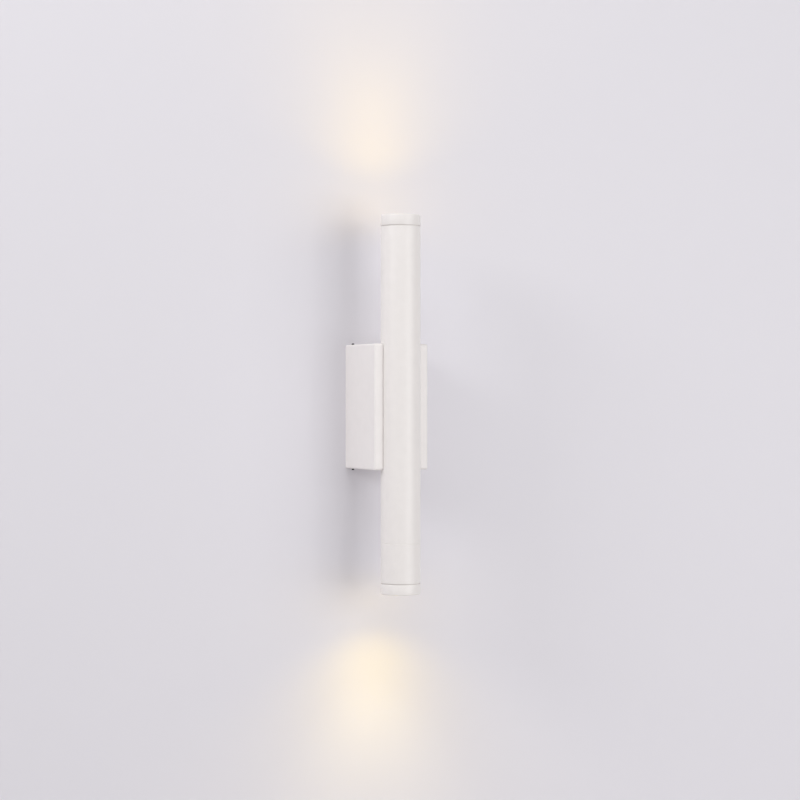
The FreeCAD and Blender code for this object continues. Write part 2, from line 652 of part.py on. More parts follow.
def housing():
    """Thin-walled box with rounded edges, the tube's channel and a flat land behind it."""
    half_w = BOX_WIDTH / 2
    half_h = BOX_HEIGHT / 2
    outside = box(V(-half_w, -BOX_DEPTH, -half_h), V(half_w, 0, half_h))
    rounded = [e for e in outside.Edges if abs(e.BoundBox.YMin) > SAME_PLACE]
    outside = outside.makeFillet(BOX_EDGE_R, rounded)
    room = box(V(BOX_WALL - half_w, BOX_WALL - BOX_DEPTH, BOX_WALL - half_h),
               V(half_w - BOX_WALL, CUT_PAST, half_h - BOX_WALL))
    channel_wall = rod(CHANNEL_R + BOX_WALL, V(0, AXIS_Y, -half_h), V(0, AXIS_Y, half_h))
    lip_reach = CHANNEL_R + BOX_WALL
    channel_lips = box(V(-lip_reach, -BOX_DEPTH, -half_h), V(lip_reach, AXIS_Y, half_h))
    land = box(V(-LAND_WIDTH / 2, AXIS_Y, LAND_END_GAP - half_h),
               V(LAND_WIDTH / 2, LAND_Y, half_h - LAND_END_GAP))
    room = room.cut(channel_wall.fuse([channel_lips, land]))
    shell = outside.cut(room).cut(channel_cutter())
    for z in (-TUBE_SCREW_Z, TUBE_SCREW_Z):
        shell = shell.cut(rod(M4_CLEARANCE_R, V(0, AXIS_Y, z), V(0, LAND_Y + CUT_PAST, z)))
    shell = shell.cut(rod(NIPPLE_R + HOLE_EASE, V(0, AXIS_Y, 0), V(0, LAND_Y + CUT_PAST, 0)))
    for side in (-1, 1):
        for end in (-1, 1):
            at = V(side * (half_w - SET_SCREW_FROM_SIDE), -SET_SCREW_FROM_WALL, 0)
            inside = V(0, 0, end * (half_h - BOX_WALL - CUT_PAST))
            past = V(0, 0, end * (half_h + CUT_PAST))
            shell = shell.cut(rod(SET_SCREW_R + THREAD_GAP, at + inside, at + past))
    return shell


def housing_set_screws():
    """Four socket set screws through the housing's ends into the plate's flanges."""
    top = BOX_HEIGHT / 2 + SET_SCREW_SHOWS
    screw = rod(SET_SCREW_R, V(0, 0, top - SET_SCREW_LENGTH), V(0, 0, top))
    screw = screw.cut(hexagon(HEX_KEY, top - HEX_DEPTH, top))
    screws = []
    for turn in (0, 180):
        for side in (-1, 1):
            one = screw.copy()
            one.rotate(V(0, 0, 0), V(1, 0, 0), turn)
            one.translate(V(side * (BOX_WIDTH / 2 - SET_SCREW_FROM_SIDE), -SET_SCREW_FROM_WALL, 0))
            screws.append(one)
    return Part.makeCompound(screws)


# ---- What holds the tube in the housing ----


def backing_bar():
    """Tapped bar inside the tube, curved at the back to fit the tube's bore."""
    half_h = TUBE_SCREW_Z + BAR_END
    bar = rod(TUBE_IN_R - THREAD_GAP, V(0, 0, -half_h), V(0, 0, half_h))
    bar = bar.common(box(V(-BAR_WIDTH / 2, BAR_FRONT, -half_h), V(BAR_WIDTH / 2, TUBE_R, half_h)))
    for z in (-TUBE_SCREW_Z, TUBE_SCREW_Z):
        bar = bar.cut(rod(M4_R + THREAD_GAP, V(0, 0, z), V(0, TUBE_R, z)))
    bar = bar.cut(rod(NIPPLE_R + THREAD_GAP, V(0, 0, 0), V(0, TUBE_R, 0)))
    bar.translate(V(0, AXIS_Y, 0))
    return bar


def tube_screws():
    """Two screws from inside the housing, through the tube's wall into the bar."""
    length = LAND_Y + WASHER_THICKNESS - AXIS_Y - BAR_FRONT
    screw = pan_screw(M4_R, length, M4_HEAD_R, M4_HEAD)
    return Part.makeCompound([facing_wall(screw, V(0, LAND_Y + WASHER_THICKNESS, z))
                              for z in (-TUBE_SCREW_Z, TUBE_SCREW_Z)])


def spring_washers():
    """Split washer under the head of each tube screw."""
    washer = sleeve(M4_HEAD_R, M4_CLEARANCE_R, 0, WASHER_THICKNESS)
    washer = washer.cut(box(V(0, -WASHER_SPLIT / 2, 0), V(M4_HEAD_R, WASHER_SPLIT / 2, WASHER_THICKNESS)))
    return Part.makeCompound([facing_wall(washer, V(0, LAND_Y, z)) for z in (-TUBE_SCREW_Z, TUBE_SCREW_Z)])


def cable_nipple():
    """Hollow threaded nipple from the bar, through tube and channel, to its nut."""
    start = AXIS_Y + BAR_FRONT - NIPPLE_SHOWS_INSIDE
    nipple = rod(NIPPLE_R, V(0, start, 0), V(0, NIPPLE_END_Y, 0))
    return nipple.cut(rod(NIPPLE_BORE_R, V(0, start, 0), V(0, NIPPLE_END_Y, 0)))


def nipple_nut():
    """Flat six-sided nut on the nipple, against the housing's land."""
    nut = hexagon(NUT_FLATS, 0, NUT_HEIGHT)
    nut = nut.cut(rod(NIPPLE_R + THREAD_GAP, V(0, 0, 0), V(0, 0, NUT_HEIGHT)))
    return facing_wall(nut, V(0, LAND_Y, 0))


def nipple_bush():
    """Plastic bush in the nipple's end, so that its edge doesn't cut the leads."""
    bore = NIPPLE_BORE_R - THREAD_GAP - BUSH_WALL
    outer = NIPPLE_BORE_R - THREAD_GAP
    profile = [(bore, -BUSH_SLEEVE), (outer, -BUSH_SLEEVE), (outer, 0), (NIPPLE_R, 0),
               (NIPPLE_R - BUSH_FLANGE / 2, BUSH_FLANGE), (bore, BUSH_FLANGE)]
    return facing_wall(spun(outline(profile)), V(0, NIPPLE_END_Y, 0))


# ---- Tube ----


def at_axis(shape):
    """Moves a piece made about the Z axis to the tube's axis."""
    moved = shape.copy()
    moved.translate(V(0, AXIS_Y, 0))
    return moved


def main_tube():
    """Long tube from the seam to the top ring, with the fixing holes in its back."""
    profile = [(TUBE_IN_R, SEAM_Z), (TUBE_R - SEAM_CHAMFER, SEAM_Z), (TUBE_R, SEAM_Z + SEAM_CHAMFER),
               (TUBE_R, TOP_END_Z), (TUBE_IN_R, TOP_END_Z)]
    tube = spun(outline(profile))
    for z in (-TUBE_SCREW_Z, TUBE_SCREW_Z):
        tube = tube.cut(rod(M4_CLEARANCE_R, V(0, 0, z), V(0, TUBE_R, z)))
    tube = tube.cut(rod(NIPPLE_R + HOLE_EASE, V(0, 0, 0), V(0, TUBE_R, 0)))
    return at_axis(tube)


def lower_tube():
    """Short tube below the seam, which carries the lower lamp unit."""
    groove_r = TUBE_IN_R + SEAL_SECTION + SEAL_GROOVE_GAP
    groove_top = SEAM_Z - SEAL_FROM_SEAM + SEAL_GROOVE_GAP
    groove_low = SEAM_Z - SEAL_FROM_SEAM - SEAL_WIDTH - SEAL_GROOVE_GAP
    profile = [(TUBE_IN_R, LOW_END_Z), (TUBE_R, LOW_END_Z), (TUBE_R, SEAM_Z - SEAM_CHAMFER),
               (TUBE_R - SEAM_CHAMFER, SEAM_Z), (TUBE_IN_R, SEAM_Z), (TUBE_IN_R, groove_top),
               (groove_r, groove_top), (groove_r, groove_low), (TUBE_IN_R, groove_low)]
    return at_axis(spun(outline(profile)))


def joint_collar():
    """Threaded collar fixed in the long tube's end; the lower tube screws up over it."""
    inner = TUBE_IN_R - COLLAR_WALL
    return at_axis(sleeve(TUBE_IN_R - THREAD_GAP, inner, SEAM_Z - COLLAR_THREAD, SEAM_Z + COLLAR_ROOT))


def joint_seal():
    """Rubber ring in the lower tube's groove, sliding on the collar."""
    top = SEAM_Z - SEAL_FROM_SEAM
    return at_axis(sleeve(TUBE_IN_R + SEAL_SECTION, TUBE_IN_R, top - SEAL_WIDTH, top))


# ---- Leads inside the light ----


def lead(end, level_z, run_y, first_bend, loop_r, exit_y):
    """Lead from a plug along the tube's axis, out through the nipple and round to the driver."""
    tail_z = TUBE_ABOVE_BOX + end * (HALF_TUBE + PLUG_TAIL_S)
    loop_top = LOOP_Z + loop_r
    points = [V(0, AXIS_Y, tail_z), V(0, AXIS_Y, level_z), V(0, run_y, level_z), V(0, run_y, loop_top),
              V(0, exit_y, loop_top), V(0, exit_y, DRIVER_TOP_Z - DRIVER_WALL - LEAD_IN_CASE)]
    in_tube_bend = BAR_FRONT - NIPPLE_SHOWS_INSIDE - LEAD_FROM_NIPPLE
    return wire_along(points, [in_tube_bend, first_bend, loop_r, loop_r], LEAD_R)


def plug(end):
    """Moulded round plug with a tapered tail; its barrel can turn in the socket."""
    tip = SOCKET_S + PLUG_BARREL
    barrel_r = SOCKET_BORE_R - RUNNING_GAP
    profile = [(0, PLUG_TAIL_S), (LEAD_R + PLUG_TAIL_WALL, PLUG_TAIL_S), (PLUG_R, SOCKET_S - PLUG_LENGTH),
               (PLUG_R, SOCKET_S), (barrel_r, SOCKET_S), (barrel_r, tip), (0, tip)]
    return at_end(spun(outline(profile)), end)


# ---- Lamp units and rings: made for the top end, then turned over for the bottom ----


def at_end(shape, end):
    """Puts a piece counted from the tube's end face on the top end, or turned over on the bottom."""
    placed = shape.copy()
    placed.translate(V(0, 0, HALF_TUBE))
    if end < 0:
        placed.rotate(V(0, 0, 0), V(1, 0, 0), 180)
    placed.translate(V(0, 0, TUBE_ABOVE_BOX))
    return at_axis(placed)


def ring():
    """End ring: threaded spigot, narrow neck, plain rim as wide as the tube, and a lip inside."""
    spigot_r = TUBE_IN_R - THREAD_GAP
    neck_r = TUBE_R - GROOVE_DEPTH
    snap_r = BORE_R + SNAP_GROOVE_DEPTH
    lean = RING_EDGE_R * (1 - math.sqrt(0.5))
    outside = [(spigot_r, -RING_SPIGOT), (spigot_r, 0), (neck_r, 0), (neck_r, GROOVE_HEIGHT),
               (TUBE_R, GROOVE_HEIGHT), (TUBE_R, RING_HEIGHT - RING_EDGE_R),
               (TUBE_R - lean, RING_HEIGHT - lean), (TUBE_R - RING_EDGE_R, RING_HEIGHT)]
    inside = [(APERTURE_R + APERTURE_CHAMFER, RING_HEIGHT), (APERTURE_R, RING_HEIGHT - APERTURE_CHAMFER),
              (APERTURE_R, LIP_S), (BORE_R, LIP_S), (BORE_R, GLASS_S), (snap_r, GLASS_S),
              (snap_r, SNAP_S), (BORE_R, SNAP_S), (BORE_R, -RING_SPIGOT)]
    return spun(outline(outside + inside))


def glass():
    """Round pane with a small bevel on its outer edge."""
    radius = BORE_R - GLASS_GAP
    bevel = GLASS_THICKNESS / 10
    profile = [(0, GLASS_S), (radius, GLASS_S), (radius, GLASS_S + GLASS_THICKNESS - bevel),
               (radius - bevel, GLASS_S + GLASS_THICKNESS), (0, GLASS_S + GLASS_THICKNESS)]
    return spun(outline(profile))


def gasket():
    """Flat gasket between the glass and the ring's lip."""
    return sleeve(BORE_R - GLASS_GAP, APERTURE_R, LIP_S - GASKET_THICKNESS, LIP_S)


def snap_ring():
    """Open spring ring in the groove behind the glass."""
    outer = BORE_R + SNAP_GROOVE_DEPTH - THREAD_GAP
    open_ring = sleeve(outer, BORE_R - SNAP_REACH, SNAP_S, GLASS_S)
    return open_ring.cut(box(V(0, -SNAP_OPENING / 2, SNAP_S), V(TUBE_R, SNAP_OPENING / 2, GLASS_S)))


def reflector():
    """Reflector that opens in a cone from the chip to the glass, with a flat foot on the board."""
    top_r = BORE_R - BOARD_EDGE_GAP - REFLECTOR_WALL
    top_s = BOARD_S + REFLECTOR_HEIGHT
    foot_r = REFLECTOR_BASE_R + REFLECTOR_FOOT
    foot_s = BOARD_S + REFLECTOR_WALL
    profile = [(REFLECTOR_BASE_R, BOARD_S), (top_r, top_s), (top_r + REFLECTOR_WALL, top_s),
               (REFLECTOR_BASE_R + 2 * REFLECTOR_WALL, foot_s), (foot_r, foot_s), (foot_r, BOARD_S)]
    return spun(outline(profile))


def led_chip():
    """Round light-emitting chip."""
    return rod(CHIP_R, V(0, 0, BOARD_S), V(0, 0, BOARD_S + CHIP_HEIGHT))


def lead_spots():
    """Sideways places of the two short leads to the board."""
    return (-BOARD_LEAD_SPACING / 2, BOARD_LEAD_SPACING / 2)


def lead_hole(low_s, high_s):
    """What the two short leads take out of a piece between two levels."""
    radius = BOARD_LEAD_SPACING / 2 + BOARD_LEAD_R + LEAD_HOLE_EASE / 2
    return rod(radius, V(0, -PAD_R, low_s), V(0, -PAD_R, high_s))


def led_board():
    """Round metal-backed board with two screw holes and a hole for the leads."""
    board = rod(BOARD_R, V(0, 0, HEATSINK_TOP_S), V(0, 0, BOARD_S))
    for side in (-1, 1):
        x = side * PAD_R
        board = board.cut(rod(M3_R + HOLE_EASE, V(x, 0, HEATSINK_TOP_S), V(x, 0, BOARD_S)))
    return board.cut(lead_hole(HEATSINK_TOP_S, BOARD_S))


def board_screws():
    """Two small screws that press the board on the heatsink."""
    screw = pan_screw(M3_R, HEATSINK_HOLE_DEPTH - SCREW_END_GAP + BOARD_THICKNESS, M3_HEAD_R, M3_HEAD)
    return mirrored_pair(screw, V(PAD_R, 0, BOARD_S))


def heatsink():
    """Turned slug with a full band under the board and straight fins behind it."""
    outer = TUBE_IN_R - THREAD_GAP
    core_r = PAD_R + HEATSINK_CORE_PAST_PADS
    core = rod(core_r, V(0, 0, HEATSINK_S), V(0, 0, HEATSINK_TOP_S))
    band = rod(outer, V(0, 0, HEATSINK_TOP_S - HEATSINK_BAND), V(0, 0, HEATSINK_TOP_S))
    fins = []
    for i in range(FIN_COUNT):
        fin = box(V(PAD_R, -FIN_THICKNESS / 2, HEATSINK_S),
                  V(TUBE_R, FIN_THICKNESS / 2, HEATSINK_TOP_S - HEATSINK_BAND / 2))
        fin.rotate(V(0, 0, 0), V(0, 0, 1), (i + 0.5) * 360 / FIN_COUNT)
        fins.append(fin)
    body = core.fuse([band] + fins).common(rod(outer, V(0, 0, HEATSINK_S), V(0, 0, HEATSINK_TOP_S)))
    stem_end = V(0, 0, HEATSINK_S + HEATSINK_HOLE_DEPTH)
    body = body.cut(rod(SOCKET_STEM_R + THREAD_GAP, V(0, 0, HEATSINK_S), stem_end))
    for side in (-1, 1):
        hole = rod(M3_R + THREAD_GAP, V(side * PAD_R, 0, HEATSINK_TOP_S - HEATSINK_HOLE_DEPTH),
                   V(side * PAD_R, 0, HEATSINK_TOP_S))
        body = body.cut(hole)
    return body.cut(lead_hole(HEATSINK_S, HEATSINK_TOP_S)).removeSplitter()


def socket():
    """Round socket with its stem set in the heatsink."""
    bore_end = SOCKET_S + SOCKET_BORE_DEPTH
    stem_end = HEATSINK_S + SOCKET_STEM
    profile = [(0, bore_end), (SOCKET_BORE_R, bore_end), (SOCKET_BORE_R, SOCKET_S), (SOCKET_R, SOCKET_S),
               (SOCKET_R, HEATSINK_S), (SOCKET_STEM_R, HEATSINK_S), (SOCKET_STEM_R, stem_end), (0, stem_end)]
    return spun(outline(profile))


def board_leads():
    """Two thin leads from the socket's side, through the heatsink to the board."""
    out_s = HEATSINK_S - BOARD_LEAD_BEND - BOARD_LEAD_R
    leads = []
    for x in lead_spots():
        start = V(x, -SOCKET_R, out_s)
        leads.append(wire_along([start, V(x, -PAD_R, out_s), V(x, -PAD_R, BOARD_S + BOARD_LEAD_R)],
                                [BOARD_LEAD_BEND], BOARD_LEAD_R))
    return Part.makeCompound(leads)


def lamp_unit_and_ring():
    """Every piece of one end, by name, counted from the tube's end face."""
    return {
        "ring": ring(),
        "glass": glass(),
        "gasket": gasket(),
        "snap_ring": snap_ring(),
        "reflector": reflector(),
        "led_chip": led_chip(),
        "led_board": led_board(),
        "board_screws": board_screws(),
        "heatsink": heatsink(),
        "socket": socket(),
        "board_leads": board_leads(),
    }


def all_pieces():
    """Every node of the light, by name, in place."""
    pieces = {
        "wall_plate": wall_plate(),
        "cable_grommet": cable_grommet(),
        "terminal_block": terminal_block(),
        "terminal_clamps": terminal_clamps(),
        "terminal_fixing_screws": terminal_fixing_screws(),
        "supply_leads": supply_leads(),
        "earth_pillar": earth_pillar(),
        "earth_lead": earth_lead(),
        "earth_screw": earth_screw(),
        "driver_pad": driver_pad(),
        "driver_case": driver_case(),
        "driver_cover": driver_cover(),
        "driver_board": driver_board(),
        "driver_transformer": driver_transformer(),
        "driver_capacitor": driver_capacitor(),
        "housing": housing(),
        "housing_set_screws": housing_set_screws(),
        "backing_bar": backing_bar(),
        "tube_screws": tube_screws(),
        "spring_washers": spring_washers(),
        "cable_nipple": cable_nipple(),
        "nipple_nut": nipple_nut(),
        "nipple_bush": nipple_bush(),
        "main_tube": main_tube(),
        "lower_tube": lower_tube(),
        "joint_collar": joint_collar(),
        "joint_seal": joint_seal(),
        "upper_lead": lead(1, LEAD_PITCH / 2, UPPER_RUN_Y, LEAD_BEND_IN_BOX, OUTER_LOOP_R, UPPER_EXIT_Y),
        "lower_lead": lead(-1, -LEAD_PITCH / 2, LOWER_RUN_Y, LEAD_BEND_IN_BOX + LEAD_PITCH, INNER_LOOP_R,
                           LOWER_EXIT_Y),
        "upper_plug": plug(1),
        "lower_plug": plug(-1),
    }
    for name, shape in lamp_unit_and_ring().items():
        pieces["top_" + name] = at_end(shape, 1)
        pieces["bottom_" + name] = at_end(shape, -1)
    return pieces


os.makedirs("parts", exist_ok=True)
for node, shape in all_pieces().items():
    shape.exportStep("parts/" + node + ".step")
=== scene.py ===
import json
import math

import bmesh
import bpy
from mathutils import Matrix, Vector

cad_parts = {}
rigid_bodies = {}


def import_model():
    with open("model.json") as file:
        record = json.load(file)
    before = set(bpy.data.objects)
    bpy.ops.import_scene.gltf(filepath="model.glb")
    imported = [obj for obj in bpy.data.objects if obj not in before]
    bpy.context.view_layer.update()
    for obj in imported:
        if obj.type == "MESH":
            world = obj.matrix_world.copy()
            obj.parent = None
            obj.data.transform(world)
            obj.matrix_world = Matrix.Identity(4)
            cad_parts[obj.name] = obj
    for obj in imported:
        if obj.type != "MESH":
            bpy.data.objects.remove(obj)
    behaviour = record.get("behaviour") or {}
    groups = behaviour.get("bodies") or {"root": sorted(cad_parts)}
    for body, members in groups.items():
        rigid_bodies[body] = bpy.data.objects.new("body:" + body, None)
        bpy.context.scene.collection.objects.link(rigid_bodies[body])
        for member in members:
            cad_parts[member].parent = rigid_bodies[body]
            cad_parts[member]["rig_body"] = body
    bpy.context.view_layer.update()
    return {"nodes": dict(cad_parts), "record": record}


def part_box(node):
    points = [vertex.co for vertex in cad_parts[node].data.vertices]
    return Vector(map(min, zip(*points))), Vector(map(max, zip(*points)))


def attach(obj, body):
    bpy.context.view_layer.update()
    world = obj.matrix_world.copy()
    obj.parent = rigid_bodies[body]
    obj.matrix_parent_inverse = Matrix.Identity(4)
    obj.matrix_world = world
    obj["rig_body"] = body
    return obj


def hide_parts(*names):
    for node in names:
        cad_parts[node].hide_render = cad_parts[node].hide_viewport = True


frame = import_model()
nodes = frame["nodes"]

# The light stands on a wall: the wall is the plane y = 0 and the tube runs along Z in front of it.
# Places, the room and the lamps are in metres. The sizes of turned pieces and screws are in mm, as is
# everything whose name ends in _mm.

MM = 0.001

# Points this near to a level or a circle lie on it, and points this near to each other are made one
SAME_PLACE = 1e-5
MERGED = 1e-6
MERGED_AT_END = 1e-7


# ---- Places, taken from the frame ----

tube_low, tube_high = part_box("main_tube")
AXIS = Vector(((tube_low.x + tube_high.x) / 2, (tube_low.y + tube_high.y) / 2, 0))
LIGHT_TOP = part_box("top_ring")[1].z
LIGHT_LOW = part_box("bottom_ring")[0].z

# Each end counts its heights outwards from the tube's end face, and the lower end is turned over
ENDS = {
    "top": Matrix.Translation((AXIS.x, AXIS.y, tube_high.z)),
    "bottom": (Matrix.Translation((AXIS.x, AXIS.y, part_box("lower_tube")[0].z))
               @ Matrix.Rotation(math.pi, 4, "X")),
}


# ---- Materials ----


def linear(hex_colour):
    """An sRGB hex colour as linear red, green, blue and alpha."""
    channels = [int(hex_colour[i:i + 2], 16) / 255 for i in (1, 3, 5)]
    return [c / 12.92 if c <= 0.04045 else ((c + 0.055) / 1.055) ** 2.4 for c in channels] + [1]


def add(tree, kind, settings=None, links=None):
    """Adds a node, sets its properties and its inputs, and links the inputs given in links.

    An input goes by its name or its number, a property by its name in small letters.
    """
    made = tree.nodes.new("ShaderNode" + kind)
    for key, value in (settings or {}).items():
        if isinstance(key, str) and key.islower():
            setattr(made, key, value)
        else:
            made.inputs[key].default_value = value
    for key, source in (links or {}).items():
        tree.links.new(source, made.inputs[key])
    return made


def finish_of(name, colour, settings):
    """A material with only its Principled shader, its colour and its fixed settings."""
    material = bpy.data.materials.new(name)
    material.use_nodes = True
    tree = material.node_tree
    tree.nodes.clear()
    shader = add(tree, "BsdfPrincipled", {"Base Color": linear(colour), **settings})
    output = add(tree, "OutputMaterial")
    tree.links.new(shader.outputs["BSDF"], output.inputs["Surface"])
    return material, tree, shader


def grain(tree, size_mm, detail=2.0, stretch=(1, 1, 1)):
    """Noise whose blotches are about size_mm across, on the piece's own coordinates."""
    place = add(tree, "TexCoord").outputs["Object"]
    mapped = add(tree, "Mapping", {"Scale": stretch}, {"Vector": place}).outputs["Vector"]
    noise = add(tree, "TexNoise", {"Scale": 1 / (size_mm * MM), "Detail": detail}, {"Vector": mapped})
    return noise.outputs["Fac"]


def tinted(tree, shader, pattern, dark, light):
    """Colour that wanders between two close tones with the pattern."""
    tones = add(tree, "ValToRGB", {}, {"Fac": pattern})
    tones.color_ramp.elements[0].position = 0.3
    tones.color_ramp.elements[1].position = 0.7
    tones.color_ramp.elements[0].color = linear(dark)
    tones.color_ramp.elements[1].color = linear(light)
    tree.links.new(tones.outputs["Color"], shader.inputs["Base Color"])


def roughened(tree, shader, pattern, low, high):
    """Roughness that wanders between two values with the pattern."""
    spread = add(tree, "MapRange", {"To Min": low, "To Max": high}, {"Value": pattern})
    tree.links.new(spread.outputs["Result"], shader.inputs["Roughness"])


def embossed(tree, shader, pattern, depth_mm):
    """Bump of the given depth from the pattern."""
    bump = add(tree, "Bump", {"Strength": 1.0, "Distance": depth_mm * MM}, {"Height": pattern})
    tree.links.new(bump.outputs["Normal"], shader.inputs["Normal"])


def powder_coat(name, dark, light):
    """Polyester powder coat, satin: soft broad highlights and a faint orange-peel skin."""
    material, tree, shader = finish_of(name, light, {"IOR": 1.5})
    tinted(tree, shader, grain(tree, 9.0), dark, light)
    roughened(tree, shader, grain(tree, 3.0), 0.36, 0.42)
    embossed(tree, shader, grain(tree, 1.1, 1.0), 0.006)
    return material


def clear_glass():
    """Toughened float glass: clear, with a faint green cast and a sharp reflection."""
    return finish_of("clear_toughened_glass", "#F4F9F5", {
        "Roughness": 0.01, "IOR": 1.52, "Transmission Weight": 1.0})[0]


def moulded_rubber():
    """Moulded EPDM rubber: near black, dull, with a fine matt grain."""
    material, tree, shader = finish_of("black_moulded_rubber", "#17181A", {"IOR": 1.5})
    roughened(tree, shader, grain(tree, 1.5), 0.62, 0.75)
    embossed(tree, shader, grain(tree, 0.4), 0.02)
    return material


def foam_tape():
    """Closed-cell foam tape: dark grey with open pores at its cut edges."""
    material, tree, shader = finish_of("grey_closed_cell_foam", "#3B3C3E", {"Roughness": 0.9, "IOR": 1.45})
    place = add(tree, "TexCoord").outputs["Object"]
    cells = add(tree, "TexVoronoi", {"Scale": 1 / (0.8 * MM)}, {"Vector": place}).outputs["Distance"]
    embossed(tree, shader, cells, 0.2)
    return material


def zinc_plate():
    """Bright zinc plating on pressed steel: bluish grey metal with cloudy patches."""
    material, tree, shader = finish_of("bright_zinc_plated_steel", "#C4C8CC", {"Metallic": 1.0})
    tinted(tree, shader, grain(tree, 7.0, 4.0), "#B4B8BD", "#CDD1D4")
    roughened(tree, shader, grain(tree, 4.0, 3.0), 0.28, 0.42)
    embossed(tree, shader, grain(tree, 0.7), 0.008)
    return material


def spring_steel():
    """Phosphated spring steel: dark grey, dry and slightly mottled."""
    material, tree, shader = finish_of("phosphated_spring_steel", "#4A4C50", {"Metallic": 1.0})
    tinted(tree, shader, grain(tree, 2.0, 3.0), "#414347", "#575A5E")
    roughened(tree, shader, grain(tree, 1.0), 0.45, 0.6)
    return material


def blackened_steel():
    """Black-oxide steel: deep black with an oily, uneven gloss."""
    material, tree, shader = finish_of("black_oxide_steel", "#232326", {"Metallic": 1.0})
    tinted(tree, shader, grain(tree, 0.8), "#1C1C1F", "#2E2E31")
    roughened(tree, shader, grain(tree, 0.6), 0.3, 0.45)
    return material


def turned_brass():
    """Free-cutting brass, turned: yellow metal with fine tool marks."""
    material, tree, shader = finish_of("turned_brass", "#C9A24E", {"Metallic": 1.0})
    tinted(tree, shader, grain(tree, 1.5), "#BC9546", "#D4AF5C")
    roughened(tree, shader, grain(tree, 0.3, 1.0, (1, 1, 6)), 0.2, 0.34)
    return material


def machined_aluminium():
    """Aluminium, machined and left plain: pale metal with fine turned lines."""
    material, tree, shader = finish_of("machined_aluminium", "#D5D7D9", {"Metallic": 1.0})
    lines = grain(tree, 2.0, 1.0, (1, 1, 12))
    roughened(tree, shader, lines, 0.26, 0.4)
    embossed(tree, shader, lines, 0.01)
    return material


def anodised_reflector():
    """Bright anodised aluminium: a mirror with a very slight haze."""
    material, tree, shader = finish_of("bright_anodised_aluminium", "#EDEDEB", {"Metallic": 1.0})
    roughened(tree, shader, grain(tree, 2.0), 0.1, 0.16)
    return material


def solder_mask(name, dark, light):
    """Solder mask on a printed board: a glossy, slightly wavy lacquer."""
    material, tree, shader = finish_of(name, light, {"IOR": 1.5})
    tinted(tree, shader, grain(tree, 3.0), dark, light)
    roughened(tree, shader, grain(tree, 2.0), 0.22, 0.32)
    embossed(tree, shader, grain(tree, 0.5), 0.01)
    return material


def lit_phosphor():
    """Phosphor in clear silicone, switched on: glows warm white."""
    return finish_of("lit_warm_white_phosphor", "#FFDF9E", {
        "Roughness": 0.5, "IOR": 1.41, "Emission Color": linear("#FFE2B8"), "Emission Strength": 6.0})[0]


def moulded_plastic(name, dark, light, rough):
    """Moulded engineering plastic: even colour under a fine spark-eroded texture."""
    material, tree, shader = finish_of(name, light, {"IOR": 1.53})
    tinted(tree, shader, grain(tree, 6.0), dark, light)
    roughened(tree, shader, grain(tree, 1.0), rough - 0.06, rough + 0.06)
    embossed(tree, shader, grain(tree, 0.35), 0.01)
    return material


def sintered_ferrite():
    """Sintered ferrite: charcoal, stony and faintly speckled."""
    material, tree, shader = finish_of("sintered_ferrite", "#35363A", {"IOR": 2.0})
    tinted(tree, shader, grain(tree, 0.7, 4.0), "#2C2D31", "#45464A")
    roughened(tree, shader, grain(tree, 0.5), 0.5, 0.66)
    return material


def shrink_sleeve():
    """Shrunk PET sleeve: dark blue film, glossy and slightly wrinkled."""
    material, tree, shader = finish_of("blue_shrink_sleeve", "#1B2145", {"IOR": 1.57, "Roughness": 0.2})
    embossed(tree, shader, grain(tree, 1.2), 0.03)
    return material


def wire_sheath(name, dark, light):
    """Extruded PVC insulation: soft sheen, drawn out lengthways."""
    material, tree, shader = finish_of(name, light, {"IOR": 1.53})
    tinted(tree, shader, grain(tree, 3.0), dark, light)
    roughened(tree, shader, grain(tree, 1.0), 0.4, 0.5)
    return material


def earth_sheath():
    """PVC insulation with green and yellow halves side by side."""
    material, tree, shader = finish_of("green_yellow_insulation", "#2E9E3A", {"IOR": 1.53, "Roughness": 0.45})
    place = add(tree, "TexCoord").outputs["Object"]
    across = add(tree, "SeparateXYZ", {}, {"Vector": place}).outputs["X"]
    stripe = add(tree, "Math", {"operation": "PINGPONG", 1: 1.0 * MM}, {0: across}).outputs["Value"]
    half = add(tree, "Math", {"operation": "GREATER_THAN", 1: 0.5 * MM}, {0: stripe}).outputs["Value"]
    tones = add(tree, "MixRGB", {"Color1": linear("#2E9E3A"), "Color2": linear("#E6D53A")}, {"Fac": half})
    tree.links.new(tones.outputs["Color"], shader.inputs["Base Color"])
    return material


FINISHES = {
    "tube_paint": powder_coat("satin_warm_white_powder_coat_tube", "#E9E5E2", "#EBE7E4"),
    "ring_paint": powder_coat("satin_warm_white_powder_coat_ring", "#E9E5E2", "#EBE7E4"),
    "housing_paint": powder_coat("satin_warm_white_powder_coat_box", "#E9E5E3", "#EBE7E5"),
    "clear_glass": clear_glass(),
    "black_rubber": moulded_rubber(),
    "pad_foam": foam_tape(),
    "zinc_steel": zinc_plate(),
    "spring_steel": spring_steel(),
    "black_steel": blackened_steel(),
    "brass": turned_brass(),
    "aluminium": machined_aluminium(),
    "reflector_metal": anodised_reflector(),
    "board_white": solder_mask("white_solder_mask", "#E2E2DE", "#ECECE8"),
    "led_phosphor": lit_phosphor(),
    "white_plastic": moulded_plastic("white_moulded_polyamide", "#E0E0DC", "#E9E9E5", 0.45),
    "black_plastic": moulded_plastic("black_moulded_nylon", "#191A1B", "#232425", 0.42),
    "board_green": solder_mask("green_solder_mask", "#15502C", "#1D6438"),
    "ferrite": sintered_ferrite(),
    "capacitor_sleeve": shrink_sleeve(),
    "white_sheath": wire_sheath("white_pvc_insulation", "#DEDEDA", "#E8E8E4"),
    "earth_sheath": earth_sheath(),
}


for subpart in frame["record"]["subparts"]:
    piece = nodes[subpart["node"]]
    for i in range(len(piece.material_slots)):
        piece.material_slots[i].material = FINISHES[subpart["material_slot"]]


# ---- Ways of shaping a piece ----


